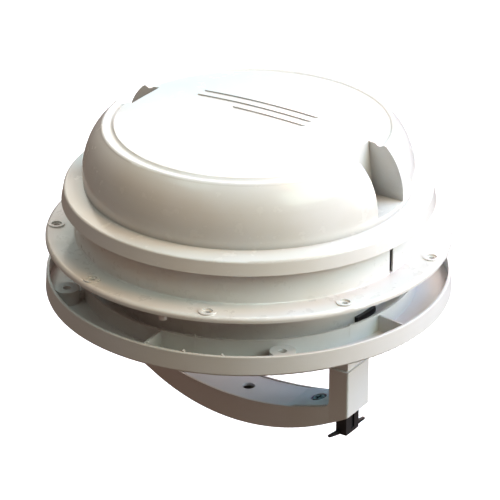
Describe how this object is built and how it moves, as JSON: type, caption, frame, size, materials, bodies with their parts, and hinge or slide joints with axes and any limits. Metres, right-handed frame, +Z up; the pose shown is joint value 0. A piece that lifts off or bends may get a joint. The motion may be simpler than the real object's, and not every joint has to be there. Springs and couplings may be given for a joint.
{
  "type": "roof vent cover",
  "caption": "Round caravan roof vent: a domed rain lid lifted on two arms by a handle below the ceiling, with a duct fan and ceiling trim ring.",
  "frame": {"origin": "centre of the nine-screw pattern, on the roof flange's lower face", "axes": "+Z up through the lid, along the vent's axis; the two lift arms stand 33 degrees clockwise of +X and opposite"},
  "size_m": [0.2936, 0.2936, 0.237],
  "materials": {
    "dome_white": "gloss",
    "base_white": "satin",
    "ring_grey": "satin",
    "handle_white": "satin",
    "latch_black": "matte",
    "fan_grey": "matte",
    "screw_black": "matte",
    "screw_steel": "brushed",
    "motor_steel": "brushed",
    "seal_rubber": "matte",
    "screen_mesh": "matte"
  },
  "bodies": {
    "vent_base": {"roof_flange": "base_white", "trim_ring": "ring_grey", "arm_guide_front": "fan_grey", "arm_guide_rear": "fan_grey", "guide_screws": "screw_steel", "fan_shroud": "base_white", "fan_motor": "motor_steel", "motor_screws": "screw_steel", "fan_guard": "base_white", "fan_screws": "screw_steel", "screen_frame": "ring_grey", "insect_screen": "screen_mesh", "switch_body": "latch_black", "wire_grommet": "seal_rubber", "bolt_keeper": "latch_black"},
    "lid_lift": {"dome_lid": "dome_white", "lid_seal": "seal_rubber", "lid_screws": "screw_black", "lift_arm_front": "handle_white", "lift_arm_rear": "handle_white", "handle_bar": "handle_white", "handle_cover": "handle_white", "handle_screws": "screw_black", "leg_screws": "screw_steel"},
    "latch": {"latch_knob": "latch_black"},
    "bolt": {"latch_bolt": "latch_black"},
    "fan": {"motor_shaft": "screw_steel", "impeller": "fan_grey", "impeller_clip": "screw_steel"},
    "switch": {"switch_knob": "latch_black"}
  },
  "joints": [
    {"name": "lid_raise", "type": "slide", "parent": "vent_base", "child": "lid_lift", "axis": [0, 0, 1], "range_m": [0, 0.05]},
    {"name": "latch_push", "type": "slide", "parent": "lid_lift", "child": "latch", "axis": [0, 0, 1], "range_m": [0, 0.006]},
    {"name": "bolt_slide", "type": "slide", "parent": "lid_lift", "child": "bolt", "axis": [0.8387, -0.5446, 0], "range_m": [0, 0.0041]},
    {"name": "fan_spin", "type": "hinge", "parent": "vent_base", "child": "fan", "pos_m": [0, 0, 0], "axis": [0, 0, 1], "continuous": true},
    {"name": "switch_turn", "type": "hinge", "parent": "vent_base", "child": "switch", "pos_m": [0, 0, -0.045], "axis": [0, 0, -1], "range_deg": [0, 270]}
  ],
  "couplings": [
    {"joint": "bolt_slide", "follows": "latch_push", "ratio": 0.66667}
  ]
}
